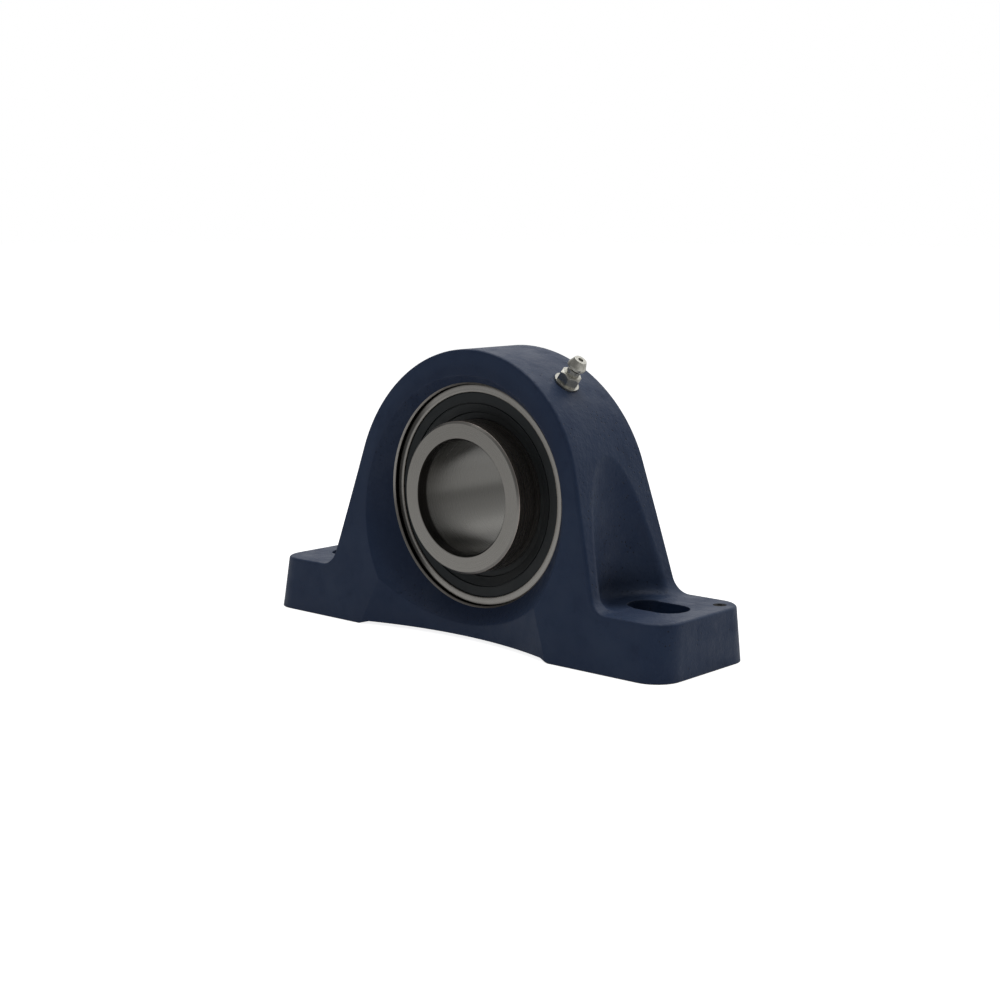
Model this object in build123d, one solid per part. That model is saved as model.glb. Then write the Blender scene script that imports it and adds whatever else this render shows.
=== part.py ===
# Pillow block bearing, size 208: a cast pedestal that carries a self-aligning insert ball bearing.
# Millimetres. +X runs along the base, +Y along the shaft from the narrow end of the inner ring
# (front) to the wide end with the set screws (rear), +Z up. The origin is the middle of the
# bolt pattern on the mounting plane, straight below the centre of the bearing.
from math import cos, radians, sin, sqrt, tan
import os

from build123d import *

# --- insert bearing -----------------------------------------------------------------------------
shaft_diameter = 40.0
outer_ring_diameter = 80.0      # of the spherical outside
outer_ring_width = 21.0
outer_ring_chamfer = 0.6
inner_ring_front = 19.0         # from the ball plane to the narrow end
inner_ring_rear = 30.2          # from the ball plane to the wide end
inner_ring_wall = 6.2
inner_ring_chamfer = 0.7
bore_chamfer = 0.45

ball_count = 9
ball_diameter = 12.0
pitch_diameter = 60.0
race_radius = 6.2               # cross-section radius of both grooves
race_clearance = 0.02
outer_shoulder_radius = 33.8

seal_seat_radius = 35.5
seal_seat_depth = 3.0           # from the ring's face to the shoulder behind the seal
seat_edge_chamfer = 0.2
seal_core_thickness = 0.6
seal_core_radius = 28.4         # inner edge of the steel washer
seal_face_depth = 0.6           # rubber below the ring's face
seal_groove_radius = 31.7
seal_groove_width = 0.5
seal_groove_depth = 0.7
seal_step_radius = 28.6
lip_thickness = 0.7
lip_drop = 0.9                  # how far the lip lies below the dish
lip_edge = 0.45                 # thickness where the lip meets the inner ring
lip_clearance = 0.05
seal_fit = 0.05

cage_sheet = 1.0
cage_width = 4.6                # radial width of the ribbon
pocket_clearance = 0.15
rivet_diameter = 1.8
rivet_head_diameter = 3.0
rivet_head_height = 0.6

set_screw_diameter = 8.0
set_screw_length = 8.0
set_screw_socket = 4.0          # across flats
set_screw_from_end = 8.0
set_screw_spread = 120.0        # degrees between the two
set_screw_inset = 0.2           # tip short of the bore
set_screw_chamfer = 0.8
set_screw_cup_diameter = 4.0    # edge of the cup point
set_screw_cup_depth = 0.8
set_screw_socket_depth = 4.0
thread_clearance = 0.05

# --- housing ------------------------------------------------------------------------------------
centre_height = 49.2
base_length = 180.0
base_width = 50.0
foot_thickness = 18.6
arch_radius = 50.3
flank_angle = 15.5              # of the flanks from vertical
front_middle = 19.0             # of the front face from the seat's centre, at the centre height
front_crown = 14.2              # the same just above the arch
rear_middle = 21.1
rear_crown = 15.5
end_draft = 3.5                 # lean of the foot ends
corner_radius = 9.5             # upright corners of the feet
rim_radius = 1.0                # rounding of the cast upper edges
root_radius = 7.0               # flank into foot

bolt_spacing = 140.0
slot_width = 14.0
slot_length = 22.0
scoop_radius = 19.6             # clearance for the bolt head, at foot height
scoop_draft = 3.6
scoop_root_radius = 4.0
scoop_floor = 0.2               # above the top of the foot
scoop_ridge_radius = 3.0        # where a scoop breaks through the flank
dimple_diameter = 3.6
dimple_from_end = 7.0
dimple_from_face = 9.0

relief_height = 1.1
relief_length = 80.0
relief_slope = 4.0              # run of the sloping ends
waist_width = 86.0              # chord of the hollow between the feet
waist_depth = 7.3

seat_clearance = 0.02
seat_half_width = 11.5
seat_chamfer_width = 0.6
recess_angle = 41.0
loading_slot_clearance = 0.5
loading_slot_depth = 0.15

pocket_start = 36.0             # cored pockets under the flanks
pocket_length = 16.0
pocket_width = 13.0
pocket_height = 13.0
pocket_rib = 4.0
pocket_corner = 3.0
pocket_draft = 4.0

# --- locating pin -------------------------------------------------------------------------------
pin_diameter = 3.0
pin_depth = 2.0                 # into the outer ring
pin_height = 1.75               # above the outer ring
pin_clearance = 0.02
pin_chamfer = 0.2
pin_groove_clearance = 0.15
pin_swing = 2.5                 # travel of the pin along its groove, each way

# --- grease path --------------------------------------------------------------------------------
nipple_angle = 37.5             # from vertical towards +X
nipple_thread_diameter = 6.0
nipple_end_gap = 3.7            # from the end of the thread to the grease groove
nipple_collar_diameter = 9.0
nipple_collar_height = 0.8
nipple_hexagon = 7.0            # across flats
nipple_hexagon_height = 3.6
nipple_neck_diameter = 4.7
nipple_head_diameter = 6.5
nipple_height = 10.3            # above the spot face
spot_face_clearance = 0.5
tap_runout = 1.0
grease_drill_diameter = 3.0
grease_groove_front = 8.0
grease_groove_rear = 0.5
grease_groove_depth = 0.8
ring_hole_diameter = 1.6
ring_hole_offset = 6.3
check_ball_diameter = 2.5
check_hole_diameter = 1.9
check_chamber_diameter = 2.9
check_ball_clearance = 0.03
head_wall = 1.2                 # above the check ball's chamber
head_tip_radius = 2.2           # flat of the head around the check hole
crimp_length = 0.6
spring_wire = 0.36
spring_turns = 6
spring_clearance = 0.12

# --- worked out ---------------------------------------------------------------------------------
shaft_radius = shaft_diameter / 2
sphere_radius = outer_ring_diameter / 2
ring_half = outer_ring_width / 2
inner_ring_radius = shaft_radius + inner_ring_wall
ball_radius = ball_diameter / 2
pitch_radius = pitch_diameter / 2
inner_groove_radius = pitch_radius - ball_radius - race_clearance
outer_groove_radius = pitch_radius + ball_radius + race_clearance
shoulder_half = ring_half - seal_seat_depth
set_screw_place = inner_ring_rear - set_screw_from_end
seat_radius = sphere_radius + seat_clearance
spot_face_radius = nipple_collar_diameter / 2 + spot_face_clearance
spot_face_height = sqrt(arch_radius ** 2 - spot_face_radius ** 2)   # above the bearing centre
nipple_thread_length = spot_face_height - seat_radius - grease_groove_depth - nipple_end_gap
total_height = centre_height + arch_radius
overshoot = 1.0                 # how far a cutter runs past the face it opens
half_width = base_width / 2
bearing_centre = Pos(0, 0, centre_height)


def turned(outline):
    """Solid of revolution about the Y axis of a face drawn as (radius, place along Y)."""
    return revolve(outline, Axis.Y, 360)


def polygon(*points):
    return make_face(Polyline(*points, close=True))


def circle_half_chord(radius, distance):
    """Half the chord of a circle at a distance from its centre."""
    return sqrt(radius ** 2 - distance ** 2)


def pattern_angles(count):
    return [90 + index * 360 / count for index in range(count)]


# --- housing ------------------------------------------------------------------------------------
def flank_x(height):
    """Half length of the body on the straight flank at a height."""
    angle = radians(flank_angle)
    return (arch_radius + (centre_height - height) * sin(angle)) / cos(angle)


def end_profile():
    """Outline seen along the shaft: two feet, straight flanks, and the arch they are tangent to."""
    angle = radians(flank_angle)
    half = base_length / 2
    foot_end = half - foot_thickness * tan(radians(end_draft))
    tangent = (arch_radius * cos(angle), centre_height + arch_radius * sin(angle))
    left_tangent = (-tangent[0], tangent[1])
    lower = Polyline(
        left_tangent,
        (-flank_x(foot_thickness), foot_thickness),
        (-foot_end, foot_thickness),
        (-half, 0),
        (half, 0),
        (foot_end, foot_thickness),
        (flank_x(foot_thickness), foot_thickness),
        tangent,
    )
    crown = ThreePointArc(tangent, (0, total_height), left_tangent)
    outline = make_face([*lower.edges(), crown])
    roots = [v for v in outline.vertices() if abs(abs(v.X) - flank_x(foot_thickness)) < 0.01]
    return fillet(roots, root_radius)


def side_profile():
    """Outline seen along the base: faces that curve in from the feet to the crown."""
    top = total_height + overshoot
    rear = ThreePointArc((half_width, 0), (rear_middle, centre_height), (rear_crown, top))
    front = ThreePointArc((-half_width, 0), (-front_middle, centre_height), (-front_crown, top))
    base = Line((-half_width, 0), (half_width, 0))
    return make_face([base, rear, Line((rear_crown, top), (-front_crown, top)), front])


def drafted_block():
    """The end profile between the curved front and rear faces, with its cast edges rounded."""
    solid = extrude(Plane.XZ * end_profile(), base_width, both=True)
    solid &= extrude(Plane.YZ * side_profile(), base_length, both=True)
    uprights = [e for e in solid.edges()
                if abs(e.center().X) > base_length / 2 - foot_thickness and e.center().Y
                and abs(e.tangent_at(0.5).Z) > 0.9]
    solid = fillet(uprights, corner_radius)
    rims = [e for e in solid.edges()
            if e.center().Z > foot_thickness - 0.01 and abs(e.tangent_at(0.5).Y) < 0.9
            or (abs(e.center().Z - foot_thickness) < 0.01 and abs(e.center().X) > bolt_spacing / 2)]
    return fillet(rims, rim_radius)


def scoop(side):
    """Cutter that hollows a flank above the bolt: a drafted round well with a rounded root."""
    well_height = total_height
    spread = tan(radians(scoop_draft))
    outline = polygon((0, 0), (scoop_radius, 0),
                      (scoop_radius + well_height * spread, well_height), (0, well_height))
    corner = [v for v in outline.vertices() if v.X > 0.01 and abs(v.Y) < 0.01]
    well = revolve(Plane.XZ * fillet(corner, scoop_root_radius), Axis.Z, 360)
    return Pos(side * bolt_spacing / 2, 0, foot_thickness + scoop_floor) * well


def on_scoop_ridge(edge):
    """Whether an edge is where a scoop's wall meets a flank, above its root."""
    point = edge.center()
    radius = sqrt((abs(point.X) - bolt_spacing / 2) ** 2 + point.Y ** 2)
    height = point.Z - foot_thickness - scoop_floor
    wall = scoop_radius + height * tan(radians(scoop_draft))
    return height > scoop_root_radius / 2 and abs(radius - wall) < 0.05


def scooped_block():
    """The block with both flanks hollowed above the bolts, and the ridges rounded."""
    body = drafted_block()
    for side in (-1, 1):
        body -= scoop(side)
    ridges = [edge for edge in body.edges() if on_scoop_ridge(edge)]
    return fillet(ridges, scoop_ridge_radius)


def bolt_slot(side):
    slot = SlotOverall(slot_length, slot_width)
    cutter = extrude(slot, foot_thickness + 2 * overshoot)
    return Pos(side * bolt_spacing / 2, 0, -overshoot) * cutter


def dimple(side):
    """Drill point at the rear corner of a foot, for a dowel."""
    radius = dimple_diameter / 2
    x = side * (base_length / 2 - dimple_from_end)
    return Pos(x, half_width - dimple_from_face, foot_thickness - radius / 2) * Cone(
        0.01, radius, radius, align=(Align.CENTER, Align.CENTER, Align.MIN))


def base_relief():
    """Shallow gap under the middle of the base, so that only the two feet bear."""
    low = relief_length / 2 + relief_slope
    high = relief_length / 2
    outline = polygon((-low, 0), (low, 0), (high, relief_height), (-high, relief_height))
    return extrude(Plane.XZ * outline, base_width, both=True)


def waist(side):
    """Upright cylinder that hollows the face between the feet."""
    radius = ((waist_width / 2) ** 2 + waist_depth ** 2) / (2 * waist_depth)
    place = side * (half_width - waist_depth + radius)
    return Pos(0, place, 0) * Cylinder(
        radius, total_height, align=(Align.CENTER, Align.CENTER, Align.MIN))


def seat_opening():
    """Spherical seat, its chamfered rims and the flared recesses, as one turned cutter."""
    rim = circle_half_chord(seat_radius, seat_half_width)
    chamfer_end = seat_half_width + seat_chamfer_width
    flare_end = half_width + seat_chamfer_width
    flare_radius = rim + seat_chamfer_width + (flare_end - chamfer_end) * tan(radians(recess_angle))
    half = [(rim, seat_half_width), (rim + seat_chamfer_width, chamfer_end),
            (flare_radius, flare_end), (0, flare_end)]
    upper = Polyline(*half)
    lower = Polyline(*[(radius, -place) for radius, place in half])
    axis = Line((0, flare_end), (0, -flare_end))
    seat = ThreePointArc((rim, seat_half_width), (seat_radius, 0), (rim, -seat_half_width))
    return turned(make_face([*upper.edges(), *lower.edges(), axis, seat]))


def loading_slots():
    """Two opposed notches behind the seat, through which the insert goes in edgewise."""
    depth = seat_half_width + seat_chamfer_width
    disc = Rot(-90, 0, 0) * Cylinder(seat_radius + loading_slot_depth, depth,
                                     align=(Align.CENTER, Align.CENTER, Align.MIN))
    height = outer_ring_width + 2 * loading_slot_clearance
    return disc & Box(4 * seat_radius, 4 * seat_radius, height)


def pin_groove():
    """Groove in the top of the seat, open to the rear, in which the locating pin travels."""
    width = pin_diameter + 2 * pin_groove_clearance
    front = pin_swing + pin_diameter / 2 + pin_groove_clearance
    rear = seat_half_width + seat_chamfer_width
    depth = sphere_radius + pin_height + pin_groove_clearance
    bottom = circle_half_chord(seat_radius, seat_half_width) - overshoot
    run = Pos(0, (rear - front + width / 2) / 2, 0) * Rectangle(width, rear + front - width / 2)
    end = Pos(0, width / 2 - front, 0) * Circle(width / 2)
    return Pos(0, 0, bottom) * extrude(run + end, depth - bottom)


def grease_groove():
    """Band turned into the seat that leads grease round to the holes of the outer ring."""
    depth = seat_radius + grease_groove_depth
    inner = circle_half_chord(seat_radius, grease_groove_front) - overshoot
    return turned(polygon((inner, -grease_groove_front), (depth, -grease_groove_front),
                          (depth, -grease_groove_rear), (inner, -grease_groove_rear)))


def nipple_frame():
    """Place on the arch with Z out along the nipple and its origin on the spot face."""
    return bearing_centre * Rot(0, nipple_angle, 0) * Pos(0, 0, spot_face_height)


def nipple_holes():
    spot = Cylinder(spot_face_radius, nipple_height,
                    align=(Align.CENTER, Align.CENTER, Align.MIN))
    tapped = Cylinder(nipple_thread_diameter / 2, nipple_thread_length + tap_runout,
                      align=(Align.CENTER, Align.CENTER, Align.MAX))
    drilled = Cylinder(grease_drill_diameter / 2, arch_radius - seat_radius + overshoot,
                       align=(Align.CENTER, Align.CENTER, Align.MAX))
    return nipple_frame() * (spot + tapped + drilled)


def cored_pockets():
    """Tapered pockets under the flanks, two on each side of the seat with a rib between."""
    pocket = extrude(RectangleRounded(pocket_length, pocket_width, pocket_corner),
                     pocket_height, taper=pocket_draft)
    x = pocket_start + pocket_length / 2
    y = (pocket_width + pocket_rib) / 2
    return [Pos(i * x, j * y, 0) * pocket for i in (-1, 1) for j in (-1, 1)]


def make_housing():
    body = scooped_block()
    for side in (-1, 1):
        body -= bolt_slot(side)
        body -= dimple(side)
        body -= waist(side)
    body -= base_relief()
    body -= bearing_centre * seat_opening()
    body -= bearing_centre * loading_slots()
    body -= bearing_centre * grease_groove()
    body -= bearing_centre * pin_groove()
    body -= nipple_holes()
    for pocket in cored_pockets():
        body -= pocket
    return body


# --- rings --------------------------------------------------------------------------------------
def race_arc(shoulder, groove):
    """Groove of a race between its two shoulders, from rear to front."""
    centre = groove - race_radius if groove > shoulder else groove + race_radius
    half = circle_half_chord(race_radius, shoulder - centre)
    return ThreePointArc((shoulder, half), (groove, 0), (shoulder, -half))


def make_outer_ring():
    face = ring_half
    edge = seal_seat_radius + seat_edge_chamfer
    crown = face - outer_ring_chamfer
    crown_radius = circle_half_chord(sphere_radius, crown)
    face_radius = circle_half_chord(sphere_radius, face) - outer_ring_chamfer
    race = race_arc(outer_shoulder_radius, outer_groove_radius)
    half_race = race.vertices().sort_by(Axis.Y)[-1].Y
    side = [(outer_shoulder_radius, half_race), (outer_shoulder_radius, shoulder_half),
            (seal_seat_radius, shoulder_half), (seal_seat_radius, face - seat_edge_chamfer),
            (edge, face), (face_radius, face), (crown_radius, crown)]
    rear = Polyline(*side)
    front = Polyline(*[(radius, -place) for radius, place in side])
    sphere = ThreePointArc((crown_radius, crown), (sphere_radius, 0), (crown_radius, -crown))
    ring = turned(make_face([*rear.edges(), *front.edges(), race, sphere]))
    for angle in (nipple_angle, nipple_angle + 180):
        hole = Cylinder(ring_hole_diameter / 2, outer_ring_diameter,
                        align=(Align.CENTER, Align.CENTER, Align.MIN))
        ring -= Rot(0, angle, 0) * Pos(0, -ring_hole_offset, 0) * hole
    pin_hole = Cylinder(pin_diameter / 2 + pin_clearance, sphere_radius,
                        align=(Align.CENTER, Align.CENTER, Align.MIN))
    ring -= Pos(0, 0, sphere_radius - pin_depth) * pin_hole
    return bearing_centre * ring


def screw_frame(index):
    """Radial place of a set screw in the wide end of the inner ring, Z outwards."""
    angle = (index - 0.5) * set_screw_spread
    return bearing_centre * Rot(0, angle, 0) * Pos(0, set_screw_place, 0)


def make_inner_ring():
    race = race_arc(inner_ring_radius, inner_groove_radius)
    half_race = race.vertices().sort_by(Axis.Y)[-1].Y

    def end(place, direction):
        inner = place - direction * bore_chamfer
        outer = place - direction * inner_ring_chamfer
        return [(inner_ring_radius, direction * half_race), (inner_ring_radius, outer),
                (inner_ring_radius - inner_ring_chamfer, place),
                (shaft_radius + bore_chamfer, place), (shaft_radius, inner)]

    rear = end(inner_ring_rear, 1)
    front = end(-inner_ring_front, -1)
    bore = Line(rear[-1], front[-1])
    outline = make_face([*Polyline(*rear).edges(), *Polyline(*front).edges(), bore, race])
    ring = bearing_centre * turned(outline)
    for index in (0, 1):
        hole = Cylinder(set_screw_diameter / 2, outer_ring_diameter,
                        align=(Align.CENTER, Align.CENTER, Align.MIN))
        ring -= screw_frame(index) * hole
    return ring


def make_set_screw(index):
    """Hexagon socket set screw with a cup point, tip towards the shaft."""
    radius = set_screw_diameter / 2 - thread_clearance
    edge = set_screw_chamfer
    outline = polygon((0, set_screw_cup_depth), (set_screw_cup_diameter / 2, 0),
                      (radius - edge, 0), (radius, edge), (radius, set_screw_length - edge),
                      (radius - edge, set_screw_length), (0, set_screw_length))
    screw = revolve(Plane.XZ * outline, Axis.Z, 360)
    socket = extrude(RegularPolygon(set_screw_socket / 2, 6, major_radius=False),
                     set_screw_socket_depth)
    screw -= Pos(0, 0, set_screw_length - set_screw_socket_depth) * socket
    return screw_frame(index) * Pos(0, 0, shaft_radius + set_screw_inset) * screw


# --- balls and cage -----------------------------------------------------------------------------
def ball_places():
    return [Rot(0, angle, 0) * Pos(0, 0, pitch_radius) for angle in pattern_angles(ball_count)]


def make_balls():
    return [bearing_centre * place * Sphere(ball_radius) for place in ball_places()]


def cage_band(depth):
    """Ring as wide as the cage's ribbon, from the ball plane forwards."""
    inner = pitch_radius - cage_width / 2
    outer = pitch_radius + cage_width / 2
    return turned(polygon((inner, 0), (outer, 0), (outer, -depth), (inner, -depth)))


def rivet_places():
    step = 180 / ball_count
    return [Rot(0, angle + step, 0) * Pos(0, 0, pitch_radius) * Rot(90, 0, 0)
            for angle in pattern_angles(ball_count)]


def make_cage_half():
    """Front half of the ribbon cage: flat lands between domes that wrap the balls."""
    pocket_radius = ball_radius + pocket_clearance
    dome_radius = pocket_radius + cage_sheet
    half = cage_band(cage_sheet)
    domes = cage_band(dome_radius)
    half += [domes & (place * Sphere(dome_radius)) for place in ball_places()]
    half -= [place * Sphere(pocket_radius) for place in ball_places()]
    half -= [place * Cylinder(rivet_diameter / 2, 4 * cage_sheet) for place in rivet_places()]
    return half


def make_rivet():
    head = Cylinder(rivet_head_diameter / 2, rivet_head_height,
                    align=(Align.CENTER, Align.CENTER, Align.MIN))
    head = chamfer(head.edges().group_by(Axis.Z)[-1], rivet_head_height / 2)
    upper = Pos(0, 0, cage_sheet) * head
    return Cylinder(rivet_diameter / 2, 2 * cage_sheet) + upper + mirror(upper, Plane.XY)


# --- seals --------------------------------------------------------------------------------------
def make_seal_core():
    """Steel washer against the shoulder of the outer ring, on the front side."""
    inner, outer = seal_core_radius, seal_seat_radius - seal_fit
    back, front = shoulder_half, shoulder_half + seal_core_thickness
    return turned(polygon((inner, -back), (outer, -back), (outer, -front), (inner, -front)))


def make_seal():
    """Rubber moulded on the washer: flat rim, a fine groove, a shallow dish and the lip."""
    back = shoulder_half + seal_core_thickness
    front = ring_half - seal_face_depth
    outer = seal_seat_radius - seal_fit
    groove_outer = seal_groove_radius + seal_groove_width / 2
    groove_inner = seal_groove_radius - seal_groove_width / 2
    groove_floor = front - seal_groove_depth
    dish_end = groove_floor - seal_groove_width
    lip_radius = inner_ring_radius + lip_clearance
    lip_top = dish_end - lip_drop + lip_thickness / 2
    lip_floor = lip_top - lip_thickness
    rim_edge = seat_edge_chamfer
    points = [(outer, back), (outer, front - rim_edge), (outer - rim_edge, front),
              (groove_outer, front), (groove_outer, groove_floor), (groove_inner, groove_floor),
              (groove_inner, front - rim_edge), (seal_step_radius, dish_end),
              (seal_step_radius, lip_top), (lip_radius, lip_floor + lip_edge),
              (lip_radius, lip_floor), (seal_core_radius - seal_fit, lip_floor),
              (seal_core_radius - seal_fit, back)]
    return turned(polygon(*[(radius, -place) for radius, place in points]))


# --- grease nipple ------------------------------------------------------------------------------
def check_ball_height():
    """Centre of the check ball where it closes the hole in the head."""
    drop = circle_half_chord(check_ball_diameter / 2, check_hole_diameter / 2)
    return nipple_height - head_wall - drop - check_ball_clearance


def make_nipple_body():
    collar = nipple_collar_height
    hexagon_top = collar + nipple_hexagon_height
    neck, head = nipple_neck_diameter / 2, nipple_head_diameter / 2
    thread = nipple_thread_diameter / 2 - thread_clearance
    flare = head - neck
    head_low = nipple_height - head
    outline = polygon(
        (0, -nipple_thread_length), (thread, -nipple_thread_length), (thread, 0),
        (nipple_collar_diameter / 2, 0), (nipple_collar_diameter / 2, collar),
        (neck, collar), (neck, head_low - flare), (head, head_low),
        (head, head_low + flare), (head_tip_radius, nipple_height), (0, nipple_height))
    body = revolve(Plane.XZ * outline, Axis.Z, 360)
    prism = extrude(RegularPolygon(nipple_hexagon / 2, 6, major_radius=False), hexagon_top)
    reach = nipple_hexagon / 2 + flare
    cap = Cone(reach + hexagon_top, neck + flare, reach + hexagon_top - neck - flare,
               align=(Align.CENTER, Align.CENTER, Align.MAX))
    body += prism & Pos(0, 0, hexagon_top) * cap
    hole = Cylinder(check_hole_diameter / 2, 4 * nipple_height)
    top = nipple_height - head_wall
    chamber = Cylinder(check_chamber_diameter / 2, top + nipple_thread_length - crimp_length,
                       align=(Align.CENTER, Align.CENTER, Align.MAX))
    return nipple_frame() * (body - hole - Pos(0, 0, top) * chamber)


def make_nipple_ball():
    return nipple_frame() * Pos(0, 0, check_ball_height()) * Sphere(check_ball_diameter / 2)


def make_nipple_spring():
    """Coil between the crimped end of the nipple and the check ball."""
    low = crimp_length - nipple_thread_length + spring_wire / 2
    high = check_ball_height() - check_ball_diameter / 2 - spring_wire / 2
    radius = check_chamber_diameter / 2 - spring_wire / 2 - spring_clearance
    coil = Helix((high - low) / spring_turns, high - low, radius)
    wire = sweep(Plane(coil @ 0, z_dir=coil % 0) * Circle(spring_wire / 2), coil)
    return nipple_frame() * Pos(0, 0, low) * wire


def make_locating_pin():
    length = pin_depth + pin_height
    pin = Cylinder(pin_diameter / 2, length, align=(Align.CENTER, Align.CENTER, Align.MIN))
    pin = chamfer(pin.edges().group_by(Axis.Z)[-1], pin_chamfer)
    return bearing_centre * Pos(0, 0, sphere_radius - pin_depth) * pin


# --- write every piece --------------------------------------------------------------------------
def all_pieces():
    pieces = {
        "housing": make_housing(),
        "outer_ring": make_outer_ring(),
        "inner_ring": make_inner_ring(),
        "locating_pin": make_locating_pin(),
        "nipple_body": make_nipple_body(),
        "nipple_ball": make_nipple_ball(),
        "nipple_spring": make_nipple_spring(),
    }
    for index in (0, 1):
        pieces[f"set_screw_{index + 1}"] = make_set_screw(index)
    for number, ball in enumerate(make_balls(), start=1):
        pieces[f"ball_{number}"] = ball
    front_half = make_cage_half()
    pieces["cage_front"] = bearing_centre * front_half
    pieces["cage_rear"] = bearing_centre * mirror(front_half, Plane.XZ)
    rivet = make_rivet()
    pieces["cage_rivets"] = Compound([bearing_centre * place * rivet for place in rivet_places()])
    for name, piece in (("seal", make_seal()), ("seal_core", make_seal_core())):
        pieces[f"{name}_front"] = bearing_centre * piece
        pieces[f"{name}_rear"] = bearing_centre * mirror(piece, Plane.XZ)
    return pieces


os.makedirs("parts", exist_ok=True)
for name, piece in all_pieces().items():
    export_step(piece, f"parts/{name}.step")
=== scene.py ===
import math

import bmesh
import bpy
from mathutils import Matrix, Vector


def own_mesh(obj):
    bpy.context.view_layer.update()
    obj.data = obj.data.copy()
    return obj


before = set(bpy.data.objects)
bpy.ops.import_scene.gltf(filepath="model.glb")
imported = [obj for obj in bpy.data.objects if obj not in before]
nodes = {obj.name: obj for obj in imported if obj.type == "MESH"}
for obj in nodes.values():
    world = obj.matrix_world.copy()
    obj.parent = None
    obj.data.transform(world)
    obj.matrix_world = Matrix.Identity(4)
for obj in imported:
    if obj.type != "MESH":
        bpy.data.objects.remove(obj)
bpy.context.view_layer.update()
print("frame loaded:", len(nodes), "nodes")

shaftHeight = 0.0492  # the bearing's centre stands straight above the middle of the base
white = (1.0, 1.0, 1.0, 1.0)

camera = {
    "place": (0.40487, -0.45702, 0.14314),
    "target": (0.00125, 0.0, 0.04646),
    "roll": math.radians(0.13),
    "lens": 63.92,
    "sensor": 36.0,
    "near": 0.01,
    "far": 50.0,
}


def makeCamera():
    data = bpy.data.cameras.new("camera")
    data.lens = camera["lens"]
    data.sensor_width = camera["sensor"]
    data.sensor_fit = "HORIZONTAL"
    data.clip_start = camera["near"]
    data.clip_end = camera["far"]
    obj = bpy.data.objects.new("camera", data)
    bpy.context.scene.collection.objects.link(obj)
    back = (Vector(camera["place"]) - Vector(camera["target"])).normalized()
    right = Vector((0, 0, 1)).cross(back).normalized()
    up = back.cross(right)
    turn = Matrix((right, up, back)).transposed().to_4x4()
    turn = turn @ Matrix.Rotation(camera["roll"], 4, "Z")
    obj.matrix_world = Matrix.Translation(camera["place"]) @ turn
    bpy.context.scene.camera = obj


makeCamera()
bpy.context.scene.view_settings.view_transform = "Standard"
print("camera placed")


# helpers for node trees: a value is a number or the output of a node
def newTree(name):
    material = bpy.data.materials.new(name)
    material.use_nodes = True
    tree = material.node_tree
    tree.nodes.clear()
    output = tree.nodes.new("ShaderNodeOutputMaterial")
    shader = tree.nodes.new("ShaderNodeBsdfPrincipled")
    tree.links.new(shader.outputs["BSDF"], output.inputs["Surface"])
    return material, tree, shader


def mathNode(tree, operation, *values, clamp=False):
    node = tree.nodes.new("ShaderNodeMath")
    node.operation = operation
    node.use_clamp = clamp
    for socket, value in zip(node.inputs, values):
        if isinstance(value, (int, float)):
            socket.default_value = value
        else:
            tree.links.new(value, socket)
    return node.outputs[0]


def plus(tree, a, b, clamp=False):
    return mathNode(tree, "ADD", a, b, clamp=clamp)


def minus(tree, a, b):
    return mathNode(tree, "SUBTRACT", a, b)


def times(tree, a, b):
    return mathNode(tree, "MULTIPLY", a, b)


def unsigned(tree, value):
    return mathNode(tree, "ABSOLUTE", value)


def isBelow(tree, value, limit):
    return mathNode(tree, "LESS_THAN", value, limit)


def isAbove(tree, value, limit):
    return mathNode(tree, "GREATER_THAN", value, limit)


def sumOfSquares(tree, first, *others):
    total = mathNode(tree, "POWER", first, 2.0)
    for value in others:
        total = plus(tree, total, mathNode(tree, "POWER", value, 2.0))
    return total


def ramp(tree, value, low, high, outLow=0.0, outHigh=1.0):
    node = tree.nodes.new("ShaderNodeMapRange")
    node.interpolation_type = "SMOOTHSTEP"
    tree.links.new(value, node.inputs["Value"])
    node.inputs["From Min"].default_value = low
    node.inputs["From Max"].default_value = high
    node.inputs["To Min"].default_value = outLow
    node.inputs["To Max"].default_value = outHigh
    return node.outputs["Result"]


def noise(tree, vector, scale, detail, rough):
    node = tree.nodes.new("ShaderNodeTexNoise")
    node.inputs["Scale"].default_value = scale
    node.inputs["Detail"].default_value = detail
    node.inputs["Roughness"].default_value = rough
    tree.links.new(vector, node.inputs["Vector"])
    return node.outputs["Fac"]


def mixColor(tree, factor, a, b):
    node = tree.nodes.new("ShaderNodeMix")
    node.data_type = "RGBA"
    tree.links.new(factor, node.inputs[0])
    for socket, color in ((node.inputs[6], a), (node.inputs[7], b)):
        if isinstance(color, tuple):
            socket.default_value = (*color, 1.0)
        else:
            tree.links.new(color, socket)
    return node.outputs[2]


def mixValue(tree, factor, a, b):
    node = tree.nodes.new("ShaderNodeMix")
    for socket, value in ((node.inputs[0], factor), (node.inputs[2], a), (node.inputs[3], b)):
        tree.links.new(value, socket)
    return node.outputs[0]


def bumpNormal(tree, height, strength, depth, edgeRadius):
    # a fine relief over edges that the shader rounds
    edges = tree.nodes.new("ShaderNodeBevel")
    edges.samples = 6
    edges.inputs["Radius"].default_value = edgeRadius
    node = tree.nodes.new("ShaderNodeBump")
    node.inputs["Strength"].default_value = strength
    node.inputs["Distance"].default_value = depth
    tree.links.new(height, node.inputs["Height"])
    tree.links.new(edges.outputs["Normal"], node.inputs["Normal"])
    return node.outputs["Normal"]


def finishShader(tree, shader, color, roughness, normal):
    tree.links.new(color, shader.inputs["Base Color"])
    tree.links.new(roughness, shader.inputs["Roughness"])
    tree.links.new(normal, shader.inputs["Normal"])


def objectPoint(tree):
    return tree.nodes.new("ShaderNodeTexCoord").outputs["Object"]


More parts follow.
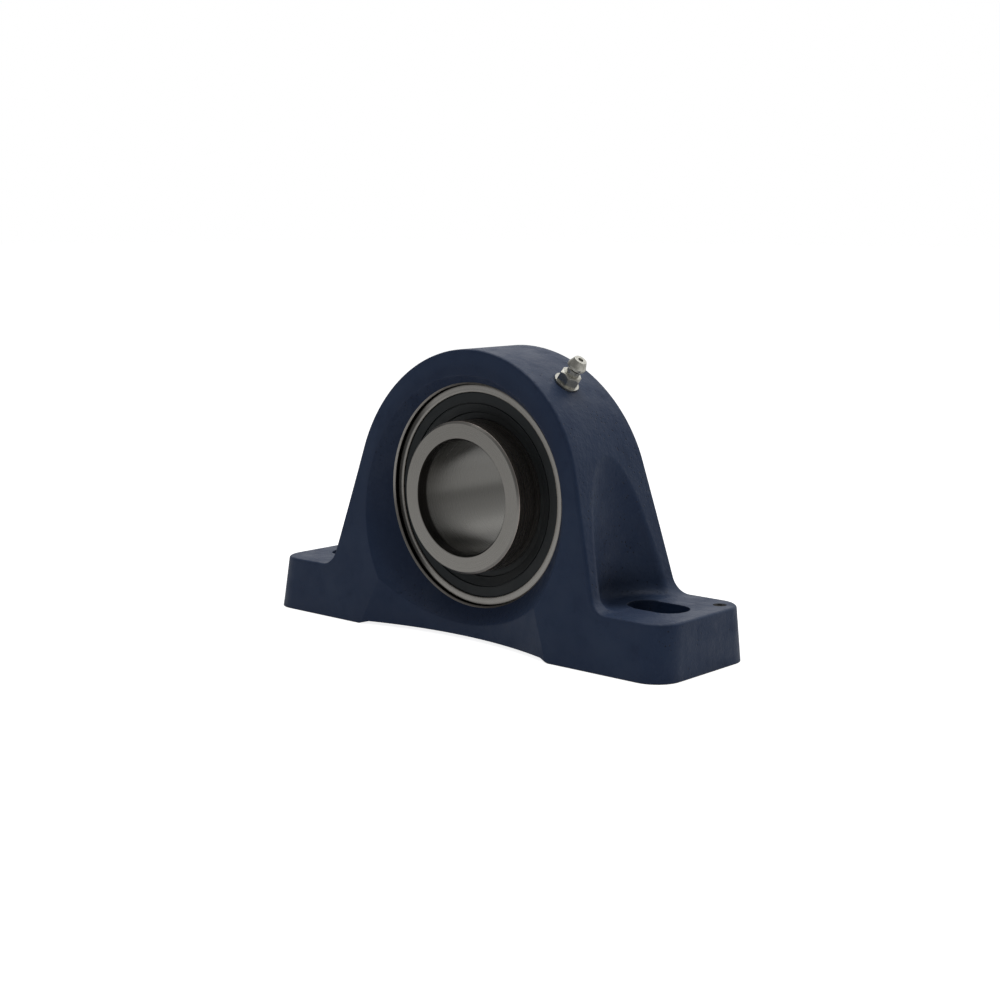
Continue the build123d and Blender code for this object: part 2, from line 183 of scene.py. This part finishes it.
def aroundShaft(tree):
    # the object point, its three parts, and its distance from the shaft's axis
    point = objectPoint(tree)
    split = tree.nodes.new("ShaderNodeSeparateXYZ")
    tree.links.new(point, split.inputs[0])
    x, y, z = (split.outputs[axis] for axis in "XYZ")
    height = minus(tree, z, shaftHeight)
    radius = mathNode(tree, "SQRT", sumOfSquares(tree, x, height))
    return point, (x, y, z), radius


def turningLines(tree, radius, along, scale, detail=3.0):
    # lines that run round the shaft, as grinding and turning leave them
    join = tree.nodes.new("ShaderNodeCombineXYZ")
    tree.links.new(radius, join.inputs["X"])
    tree.links.new(along, join.inputs["Y"])
    return noise(tree, join.outputs[0], scale, detail, 0.6)


def useMaterial(material, *names):
    for name in names:
        mesh = nodes[name].data
        mesh.materials.clear()
        mesh.materials.append(material)


# the housing: dark blue paint over a sand casting, bare where it is machined
housingFinish = {
    "paint": (0.0172, 0.0376, 0.0950),
    "paintDusty": (0.0262, 0.0505, 0.1120),
    "paintDeep": (0.0102, 0.0222, 0.0610),
    "paintWorn": (0.0360, 0.0610, 0.1180),
    "pit": (0.007, 0.010, 0.018),
    # near black: the colour of the drill dimples, and painted shade in the scoop roots
    "nearBlack": (0.0020, 0.0025, 0.0035),
    "bareIron": (0.40, 0.385, 0.36),
    "ironLines": (0.27, 0.26, 0.245),
    # painted shade: the seat's middle, in the gap round the ring, is painted near black
    "greasedIron": (0.055, 0.053, 0.050),
    "milledBelow": 0.00012,
    "seatRadius": 0.0425,
    "seatHalfWidth": 0.01212,
    "greasedHalfWidth": 0.0113,
    "greaseFilm": (0.0430, 0.0475),   # from the shaft's axis, painted shade on the recess wall fading outwards
    "recessShadeAmount": 0.45,
    "dimpleAt": (0.083, 0.016),
    "dimpleRadius": 0.0023,
    "rootShadeAt": (0.0562, 0.0198),      # out from the middle, and up
    "rootShadeStretch": 0.8,              # along the shaft
    "rootShadeReach": (0.0038, 0.0138),
    "rootShadeAmount": 0.62,
    "facing": (0.80, 0.97),           # from cast tops and ends to the dressed faces
    "dressedSand": 0.22,              # what is left of the sand on a dressed face
    "cloudScale": 38.0,
    "blotchScale": 140.0,
    "blotchAmount": 0.6,
    "speckAmount": 0.40,
    "pitScale": 620.0,
    "pitFieldScale": 70.0,
    "pitAmount": 0.8,
    "lineScale": 5200.0,
    "grainScale": 1300.0,
    "sandScale": 620.0,
    "peelScale": 260.0,
    "grainHeight": 0.35,
    "sandHeight": 0.9,
    "peelHeight": 0.8,
    "pitDepth": 0.9,
    "lineHeight": 0.06,
    "reliefStrength": 0.48,
    "reliefDepth": 0.00040,
    "edgeRadius": 0.0006,
    "paintRoughness": (0.45, 0.60),
    "ironRoughness": (0.24, 0.40),
    "specular": 0.34,
    "greaseSpecular": 0.03,
}


def castPits(tree, point, spec):
    # small holes that crowd together in some places
    cells = tree.nodes.new("ShaderNodeTexVoronoi")
    cells.inputs["Scale"].default_value = spec["pitScale"]
    cells.inputs["Randomness"].default_value = 1.0
    tree.links.new(point, cells.inputs["Vector"])
    holes = ramp(tree, cells.outputs["Distance"], 0.08, 0.24, 1.0, 0.0)
    field = ramp(tree, noise(tree, point, spec["pitFieldScale"], 2.0, 0.5), 0.44, 0.60)
    return times(tree, holes, field)


def inDimples(tree, x, y, spec):
    # the drill points in the feet
    outwards, back = spec["dimpleAt"]
    apart = sumOfSquares(tree, minus(tree, unsigned(tree, x), outwards), minus(tree, y, back))
    return isBelow(tree, apart, spec["dimpleRadius"] ** 2)


def scoopRootShade(tree, x, y, z, spec):
    # painted shade darkens the root of each scoop, behind its slot
    outwards, up = spec["rootShadeAt"]
    apart = sumOfSquares(tree, minus(tree, unsigned(tree, x), outwards),
                         times(tree, y, spec["rootShadeStretch"]), minus(tree, z, up))
    near, far = spec["rootShadeReach"]
    return ramp(tree, mathNode(tree, "SQRT", apart), near, far, spec["rootShadeAmount"], 0.0)


def housingMaterial(spec):
    material, tree, shader = newTree("housingPaint")
    point, (x, y, z), radius = aroundShaft(tree)
    along = unsigned(tree, y)
    facing = tree.nodes.new("ShaderNodeSeparateXYZ")
    tree.links.new(tree.nodes.new("ShaderNodeTexCoord").outputs["Normal"], facing.inputs[0])
    dressed = unsigned(tree, facing.outputs["Y"])
    sandy = ramp(tree, dressed, *spec["facing"], 1.0, spec["dressedSand"])

    # the turned seat and the milled faces under the feet are bare
    inSeat = times(tree, isBelow(tree, along, spec["seatHalfWidth"]),
                   isBelow(tree, radius, spec["seatRadius"]))
    bare = mathNode(tree, "MAXIMUM", inSeat, isBelow(tree, z, spec["milledBelow"]))

    cloud = noise(tree, point, spec["cloudScale"], 3.0, 0.55)
    blotch = noise(tree, point, spec["blotchScale"], 4.0, 0.6)
    grain = noise(tree, point, spec["grainScale"], 3.0, 0.65)
    sand = noise(tree, point, spec["sandScale"], 3.0, 0.6)
    peel = noise(tree, point, spec["peelScale"], 2.0, 0.5)
    lines = turningLines(tree, radius, y, spec["lineScale"])
    pits = castPits(tree, point, spec)
    dimples = inDimples(tree, x, y, spec)
    paintedRootShade = scoopRootShade(tree, x, y, z, spec)

    paint = mixColor(tree, ramp(tree, cloud, 0.35, 0.70), spec["paint"], spec["paintDusty"])
    paint = mixColor(tree, ramp(tree, blotch, 0.55, 0.85, 0.0, spec["blotchAmount"]),
                     paint, spec["paintDeep"])
    paint = mixColor(tree, times(tree, times(tree, pits, spec["pitAmount"]), sandy),
                     paint, spec["pit"])
    specks = ramp(tree, sand, 0.56, 0.70, 0.0, spec["speckAmount"])
    paint = mixColor(tree, times(tree, specks, sandy), paint, spec["paintWorn"])
    # painted shade darkens the recess wall round the seat
    paintedRecessShade = ramp(tree, radius, *spec["greaseFilm"], spec["recessShadeAmount"], 0.0)
    paint = mixColor(tree, paintedRecessShade, paint, spec["paintDeep"])
    paint = mixColor(tree, dimples, paint, spec["nearBlack"])
    # painted shade in the scoop roots
    paint = mixColor(tree, paintedRootShade, paint, spec["nearBlack"])

    iron = mixColor(tree, ramp(tree, lines, 0.35, 0.70), spec["bareIron"], spec["ironLines"])
    # painted shade on the seat's middle, in the gap round the ring
    greased = times(tree, inSeat, isBelow(tree, along, spec["greasedHalfWidth"]))
    iron = mixColor(tree, greased, iron, spec["greasedIron"])

    relief = plus(tree, times(tree, grain, spec["grainHeight"]),
                  times(tree, peel, spec["peelHeight"]))
    relief = plus(tree, relief, times(tree, sand, spec["sandHeight"]))
    relief = minus(tree, relief, times(tree, pits, spec["pitDepth"]))
    relief = times(tree, relief, sandy)
    height = mixValue(tree, bare, relief, times(tree, lines, spec["lineHeight"]))

    roughness = mixValue(tree, bare,
                         ramp(tree, blotch, 0.30, 0.75, *spec["paintRoughness"]),
                         ramp(tree, lines, 0.30, 0.75, *spec["ironRoughness"]))
    finishShader(tree, shader, mixColor(tree, bare, paint, iron), roughness,
                 bumpNormal(tree, height, spec["reliefStrength"], spec["reliefDepth"],
                            spec["edgeRadius"]))
    tree.links.new(bare, shader.inputs["Metallic"])
    # the painted shade in the scoop roots and the drill dimples lose their gloss
    dull = mathNode(tree, "MAXIMUM", dimples, paintedRootShade)
    tree.links.new(ramp(tree, dull, 0.0, 1.0, spec["specular"], spec["greaseSpecular"]),
                   shader.inputs["Specular IOR Level"])
    return material


useMaterial(housingMaterial(housingFinish), "housing")
print("housing painted")


# the rings, the balls and the pin: ground bearing steel
innerRingFinish = {
    "steel": (0.310, 0.300, 0.282),
    "steelDark": (0.235, 0.226, 0.210),
    "lineScale": 9000.0,
    "roughness": (0.22, 0.34),
    "edgeRadius": 0.00015,
    # the bore carries painted shade, painted reflection bands and a painted lighter patch
    "bore": {
        "radius": 0.0203,
        "middle": 0.0056,              # along the shaft
        # the bore's steel is painted darker than the ring's, as shade
        "steel": (0.134, 0.131, 0.122),
        "steelDark": (0.092, 0.089, 0.082),
        "bandScale": 90.0,
        "litPatch": (0.240, 0.236, 0.222),
        "litPatchAt": (0.0080, 0.0165),    # on the side away from the nipple
        "litPatchAmount": 0.6,
        "topShade": (0.040, 0.039, 0.035),
        "topShadeAt": (0.0575, 0.0665),     # above the base
        "topShadeAmount": 0.8,
        "mouthShade": (0.020, 0.018, 0.016),
        "mouthAt": (0.0197, 0.0209),   # from the middle of the bore
        "calm": 0.9,                   # share of the turning lines that reaming took away
        "shoulder": (0.56, 0.49, 0.44),
        "shoulderRadii": (0.0256, 0.0290),
        "shoulderHalf": 0.0240,
    },
}
outerRingFinish = {
    "steel": (0.365, 0.353, 0.332),
    "steelDark": (0.280, 0.270, 0.252),
    "lineScale": 9000.0,
    "roughness": (0.22, 0.34),
    "edgeRadius": 0.0009,
    # painted shade on the spherical outside and a painted shadow on one side of the face
    "outside": {
        "grease": (0.055, 0.053, 0.050),
        "radius": 0.0380,
        "halfWidth": 0.0104,
        "crescentRadii": (0.0360, 0.0367),
        "crescentAt": (0.0190, 0.0290),   # on the side away from the nipple
        "crescentAmount": 0.92,
    },
}
ballFinish = {
    "steel": (0.66, 0.66, 0.665),
    "steelDark": (0.60, 0.60, 0.61),
    "lineScale": 2500.0,
    "roughness": (0.05, 0.09),
    "edgeRadius": 0.00005,
}
pinFinish = {
    "steel": (0.52, 0.51, 0.50),
    "steelDark": (0.42, 0.41, 0.40),
    "lineScale": 6000.0,
    "roughness": (0.18, 0.28),
    "edgeRadius": 0.0001,
}


def calmLines(tree, lines, calm):
    return plus(tree, times(tree, minus(tree, lines, 0.5), calm), 0.5)


def paintedBoreLight(tree, spec, place, radius, color, inBore):
    # a reamed bore painted darker as shade, with painted reflection bands that run along the
    # shaft, a painted lighter patch on one side, painted shade at its top, painted dark
    # reflection at its mouths, and the bright shoulder outside it
    x, y, z = place
    level = tree.nodes.new("ShaderNodeCombineXYZ")
    tree.links.new(z, level.inputs["X"])
    # painted reflection: bands that change only with height
    reflectionBands = noise(tree, level.outputs[0], spec["bandScale"], 2.0, 0.5)
    boreColor = mixColor(tree, ramp(tree, reflectionBands, 0.38, 0.66), spec["steel"], spec["steelDark"])
    # painted light: a lighter patch on the side away from the nipple
    farSide = times(tree, x, -1.0)
    boreColor = mixColor(tree, ramp(tree, farSide, *spec["litPatchAt"], 0.0, spec["litPatchAmount"]),
                     boreColor, spec["litPatch"])
    # painted shade at the top of the bore
    boreColor = mixColor(tree, ramp(tree, z, *spec["topShadeAt"], 0.0, spec["topShadeAmount"]),
                     boreColor, spec["topShade"])
    # painted dark reflection at the bore's mouths
    depth = unsigned(tree, minus(tree, y, spec["middle"]))
    boreColor = mixColor(tree, ramp(tree, depth, *spec["mouthAt"]), boreColor, spec["mouthShade"])
    color = mixColor(tree, inBore, color, boreColor)
    low, high = spec["shoulderRadii"]
    onShoulder = times(tree, isAbove(tree, radius, low), isBelow(tree, radius, high))
    onShoulder = times(tree, onShoulder, isBelow(tree, depth, spec["shoulderHalf"]))
    return mixColor(tree, onShoulder, color, spec["shoulder"])


def greasedOutside(tree, spec, place, radius, color):
    # painted shade on the spherical outside, in the gap to the seat, and a painted shadow
    # over one side of the ring's face
    x, y, _ = place
    outside = times(tree, isAbove(tree, radius, spec["radius"]),
                    isBelow(tree, unsigned(tree, y), spec["halfWidth"]))
    color = mixColor(tree, outside, color, spec["grease"])
    shadeCrescent = times(tree, ramp(tree, radius, *spec["crescentRadii"]),
                  ramp(tree, times(tree, x, -1.0), *spec["crescentAt"], 0.0,
                       spec["crescentAmount"]))
    return mixColor(tree, shadeCrescent, color, spec["grease"])


def groundSteel(name, spec):
    material, tree, shader = newTree(name)
    point, place, radius = aroundShaft(tree)
    lines = turningLines(tree, radius, place[1], spec["lineScale"])
    broad = turningLines(tree, radius, place[1], spec["lineScale"] / 12, 2.0)
    cloud = noise(tree, point, 120.0, 3.0, 0.55)
    color = mixColor(tree, ramp(tree, lines, 0.30, 0.72), spec["steel"], spec["steelDark"])
    color = mixColor(tree, ramp(tree, cloud, 0.45, 0.8, 0.0, 0.25), color, spec["steelDark"])
    if "bore" in spec:
        bore = spec["bore"]
        inBore = isBelow(tree, radius, bore["radius"])
        color = paintedBoreLight(tree, bore, place, radius, color, inBore)
        calm = minus(tree, 1.0, times(tree, inBore, bore["calm"]))
        lines = calmLines(tree, lines, calm)
        broad = calmLines(tree, broad, calm)
    if "outside" in spec:
        color = greasedOutside(tree, spec["outside"], place, radius, color)
    shader.inputs["Metallic"].default_value = 1.0
    worked = plus(tree, times(tree, lines, 0.6), times(tree, broad, 0.4))
    finishShader(tree, shader, color, ramp(tree, worked, 0.30, 0.72, *spec["roughness"]),
                 bumpNormal(tree, lines, 0.05, 0.00003, spec["edgeRadius"]))
    return material


useMaterial(groundSteel("ringSteel", innerRingFinish), "inner_ring")
useMaterial(groundSteel("outerRingSteel", outerRingFinish), "outer_ring")
useMaterial(groundSteel("ballSteel", ballFinish), *[f"ball_{n}" for n in range(1, 10)],
            "nipple_ball")
useMaterial(groundSteel("pinSteel", pinFinish), "locating_pin")
print("rings, balls and pin finished")


# cage, rivets, seal washers, spring, set screws and nipple: metal that is duller in clouds
sheetFinish = {
    "metallic": 1.0,
    "cloudScale": 260.0,
    "clouds": (0.40, 0.75, 0.0, 1.0),  # from, to, least and most of the dull colour
    "grainScale": 3000.0,
    "grainStrength": 0.15,
    "grainDepth": 0.00005,
    "edgeRadius": 0.0002,
}
cageFinish = {
    **sheetFinish,
    "color": (0.43, 0.405, 0.37),
    "dull": (0.3096, 0.2916, 0.2664),
    "roughness": (0.30, 0.44),
}
washerFinish = {
    **sheetFinish,
    "color": (0.33, 0.33, 0.335),
    "dull": (0.2376, 0.2376, 0.2412),
    "roughness": (0.36, 0.50),
}
springFinish = {
    **sheetFinish,
    "color": (0.38, 0.38, 0.39),
    "dull": (0.2736, 0.2736, 0.2808),
    "roughness": (0.25, 0.39),
}
screwFinish = {
    "color": (0.030, 0.030, 0.034),    # black oxide
    "dull": (0.20, 0.19, 0.18),        # where it is worn through
    "metallic": 0.85,
    "roughness": (0.42, 0.30),
    "cloudScale": 420.0,
    "clouds": (0.58, 0.80, 0.0, 0.5),
    "grainScale": 4000.0,
    "grainStrength": 0.12,
    "grainDepth": 0.00005,
    "edgeRadius": 0.0001,
}
nippleFinish = {
    "color": (0.56, 0.55, 0.50),       # zinc plate
    "dull": (0.38, 0.372, 0.33),
    "metallic": 1.0,
    "roughness": (0.26, 0.42),
    "cloudScale": 500.0,
    "clouds": (0.35, 0.72, 0.0, 1.0),
    "grainScale": 5000.0,
    "grainStrength": 0.15,
    "grainDepth": 0.00004,
    "edgeRadius": 0.0002,
}


def cloudedMetal(name, spec):
    material, tree, shader = newTree(name)
    point = objectPoint(tree)
    cloud = noise(tree, point, spec["cloudScale"], 4.0, 0.6)
    grain = noise(tree, point, spec["grainScale"], 2.0, 0.6)
    color = mixColor(tree, ramp(tree, cloud, *spec["clouds"]), spec["color"], spec["dull"])
    shader.inputs["Metallic"].default_value = spec["metallic"]
    finishShader(tree, shader, color, ramp(tree, cloud, 0.3, 0.75, *spec["roughness"]),
                 bumpNormal(tree, grain, spec["grainStrength"], spec["grainDepth"],
                            spec["edgeRadius"]))
    return material


useMaterial(cloudedMetal("cageSheet", cageFinish), "cage_front", "cage_rear", "cage_rivets")
useMaterial(cloudedMetal("coreSheet", washerFinish), "seal_core_front", "seal_core_rear")
useMaterial(cloudedMetal("springWire", springFinish), "nipple_spring")
useMaterial(cloudedMetal("screwOxide", screwFinish), "set_screw_1", "set_screw_2")
useMaterial(cloudedMetal("nippleZinc", nippleFinish), "nipple_body")
print("cage, washers, screws and nipple finished")


# the seals: moulded rubber
sealFinish = {
    "rubber": (0.0190, 0.0245, 0.0270),
    "dusty": (0.0310, 0.0385, 0.0420),
    "roughness": (0.42, 0.58),
    "specular": 0.35,
    "cloudScale": 90.0,
    "grainScale": 2600.0,
    "grainHeight": 0.6,
    "ringScale": 1800.0,
    "ringHeight": 0.4,
    "reliefStrength": 0.25,
    "reliefDepth": 0.00006,
    "edgeRadius": 0.00025,
}


def sealMaterial(spec):
    material, tree, shader = newTree("sealRubber")
    point, place, radius = aroundShaft(tree)
    cloud = noise(tree, point, spec["cloudScale"], 4.0, 0.6)
    grain = noise(tree, point, spec["grainScale"], 3.0, 0.6)
    rings = turningLines(tree, radius, place[1], spec["ringScale"], 2.0)
    color = mixColor(tree, ramp(tree, cloud, 0.42, 0.78), spec["rubber"], spec["dusty"])
    height = plus(tree, times(tree, grain, spec["grainHeight"]),
                  times(tree, rings, spec["ringHeight"]))
    shader.inputs["Specular IOR Level"].default_value = spec["specular"]
    finishShader(tree, shader, color, ramp(tree, cloud, 0.3, 0.75, *spec["roughness"]),
                 bumpNormal(tree, height, spec["reliefStrength"], spec["reliefDepth"],
                            spec["edgeRadius"]))
    return material


useMaterial(sealMaterial(sealFinish), "seal_front", "seal_rear")
print("seals finished")


def shortenSpring(spring):
    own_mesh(spring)


shortenSpring(nodes["nipple_spring"])


# floor, light and background
studio = {
    "floorHalf": 8.0,
    "floorGrey": 0.80,
    "floorRoughness": 0.9,
    "floorGlow": 0.86,
    "mirroredGlow": 0.32,            # share of the glow that reflections show
    "worldFill": 0.195,
    "roomDim": 0.22,                 # what reflections see in front of the object
    "backdropDim": 0.12,             # what they lose of the white behind it
    "backdropWay": (-0.25, 0.90, 0.35),
    "backdropEdge": (0.3, 0.95),
    "topPower": 3.6,
    "topPlace": (-0.03, 0.20, 0.87),
    "topSize": 0.9,
}


def makeFloor():
    work = bmesh.new()
    bmesh.ops.create_grid(work, x_segments=1, y_segments=1, size=studio["floorHalf"])
    mesh = bpy.data.meshes.new("floor")
    work.to_mesh(mesh)
    work.free()
    floor = bpy.data.objects.new("floor", mesh)
    bpy.context.scene.collection.objects.link(floor)
    material, tree, shader = newTree("floorPale")
    shader.inputs["Base Color"].default_value = (studio["floorGrey"],) * 3 + (1.0,)
    shader.inputs["Roughness"].default_value = studio["floorRoughness"]
    shader.inputs["Specular IOR Level"].default_value = 0.0
    shader.inputs["Emission Color"].default_value = white
    path = tree.nodes.new("ShaderNodeLightPath")
    mirrored = times(tree, path.outputs["Is Glossy Ray"], studio["mirroredGlow"])
    seen = plus(tree, path.outputs["Is Camera Ray"], mirrored)
    seen = plus(tree, seen, path.outputs["Is Transmission Ray"], clamp=True)
    tree.links.new(times(tree, seen, studio["floorGlow"]), shader.inputs["Emission Strength"])
    mesh.materials.append(material)


def makeWorld():
    world = bpy.data.worlds.new("studio")
    bpy.context.scene.world = world
    world.use_nodes = True
    tree = world.node_tree
    tree.nodes.clear()
    output = tree.nodes.new("ShaderNodeOutputWorld")
    fill = tree.nodes.new("ShaderNodeBackground")
    fill.inputs["Color"].default_value = white
    fill.inputs["Strength"].default_value = studio["worldFill"]
    shown = tree.nodes.new("ShaderNodeBackground")
    shown.inputs["Color"].default_value = white
    path = tree.nodes.new("ShaderNodeLightPath")

    # reflections show the white backdrop behind the object and a dimmer room in front of it
    way = tree.nodes.new("ShaderNodeVectorMath")
    way.operation = "DOT_PRODUCT"
    tree.links.new(tree.nodes.new("ShaderNodeTexCoord").outputs["Generated"], way.inputs[0])
    way.inputs[1].default_value = studio["backdropWay"]
    room = ramp(tree, way.outputs["Value"], *studio["backdropEdge"],
                1.0 - studio["roomDim"], studio["backdropDim"])
    darker = times(tree, path.outputs["Is Glossy Ray"], room)
    tree.links.new(minus(tree, 1.0, darker), shown.inputs["Strength"])
    seen = plus(tree, path.outputs["Is Camera Ray"], path.outputs["Is Glossy Ray"])
    seen = plus(tree, seen, path.outputs["Is Transmission Ray"], clamp=True)
    mix = tree.nodes.new("ShaderNodeMixShader")
    tree.links.new(seen, mix.inputs[0])
    tree.links.new(fill.outputs[0], mix.inputs[1])
    tree.links.new(shown.outputs[0], mix.inputs[2])
    tree.links.new(mix.outputs[0], output.inputs["Surface"])


def makeTopLight():
    data = bpy.data.lights.new("topBox", "AREA")
    data.energy = studio["topPower"]
    data.size = studio["topSize"]
    lamp = bpy.data.objects.new("topBox", data)
    lamp.location = studio["topPlace"]
    aim = Vector((0, 0, shaftHeight)) - Vector(studio["topPlace"])
    lamp.rotation_euler = aim.to_track_quat("-Z", "Y").to_euler()
    bpy.context.scene.collection.objects.link(lamp)


makeFloor()
makeWorld()
makeTopLight()
print("studio ready")
